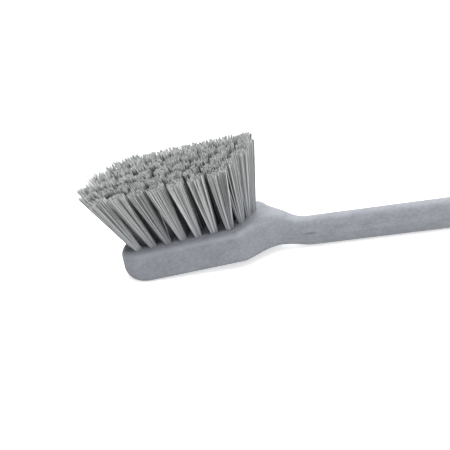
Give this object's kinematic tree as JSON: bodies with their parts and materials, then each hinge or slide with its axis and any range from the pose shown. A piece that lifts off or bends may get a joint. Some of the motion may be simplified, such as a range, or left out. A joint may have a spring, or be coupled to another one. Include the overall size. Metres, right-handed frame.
{
  "type": "pot brush",
  "caption": "Long-handled pot brush with an oval block, flared flat-trimmed bristle tufts, a stepped-down neck and a round handle with a hanging hole.",
  "frame": {"origin": "middle of the block's flat back, below the middle of the tuft rows", "axes": "+X along the brush to the handle's end, +Z from the back to the bristle tips, +Y across the block"},
  "size_m": [0.5098, 0.0854, 0.1092],
  "materials": {
    "moulding": "matte moulded grain",
    "filament": "satin drawn filament",
    "anchor_wire": "drawn wire"
  },
  "bodies": {
    "root": {"handle_block": "moulding", "bristles_near": "filament", "bristles_centre": "filament", "bristles_far": "filament", "tuft_anchor_01": "anchor_wire", "tuft_anchor_02": "anchor_wire", "tuft_anchor_03": "anchor_wire", "tuft_anchor_04": "anchor_wire", "tuft_anchor_05": "anchor_wire", "tuft_anchor_06": "anchor_wire", "tuft_anchor_07": "anchor_wire", "tuft_anchor_08": "anchor_wire", "tuft_anchor_09": "anchor_wire", "tuft_anchor_10": "anchor_wire", "tuft_anchor_11": "anchor_wire", "tuft_anchor_12": "anchor_wire", "tuft_anchor_13": "anchor_wire", "tuft_anchor_14": "anchor_wire", "tuft_anchor_15": "anchor_wire", "tuft_anchor_16": "anchor_wire", "tuft_anchor_17": "anchor_wire", "tuft_anchor_18": "anchor_wire", "tuft_anchor_19": "anchor_wire", "tuft_anchor_20": "anchor_wire", "tuft_anchor_21": "anchor_wire", "tuft_anchor_22": "anchor_wire", "tuft_anchor_23": "anchor_wire", "tuft_anchor_24": "anchor_wire", "tuft_anchor_25": "anchor_wire", "tuft_anchor_26": "anchor_wire", "tuft_anchor_27": "anchor_wire", "tuft_anchor_28": "anchor_wire", "tuft_anchor_29": "anchor_wire", "tuft_anchor_30": "anchor_wire", "tuft_anchor_31": "anchor_wire", "tuft_anchor_32": "anchor_wire", "tuft_anchor_33": "anchor_wire", "tuft_anchor_34": "anchor_wire", "tuft_anchor_35": "anchor_wire", "tuft_anchor_36": "anchor_wire", "tuft_anchor_37": "anchor_wire", "tuft_anchor_38": "anchor_wire", "tuft_anchor_39": "anchor_wire", "tuft_anchor_40": "anchor_wire", "tuft_anchor_41": "anchor_wire"}
  },
  "joints": []
}
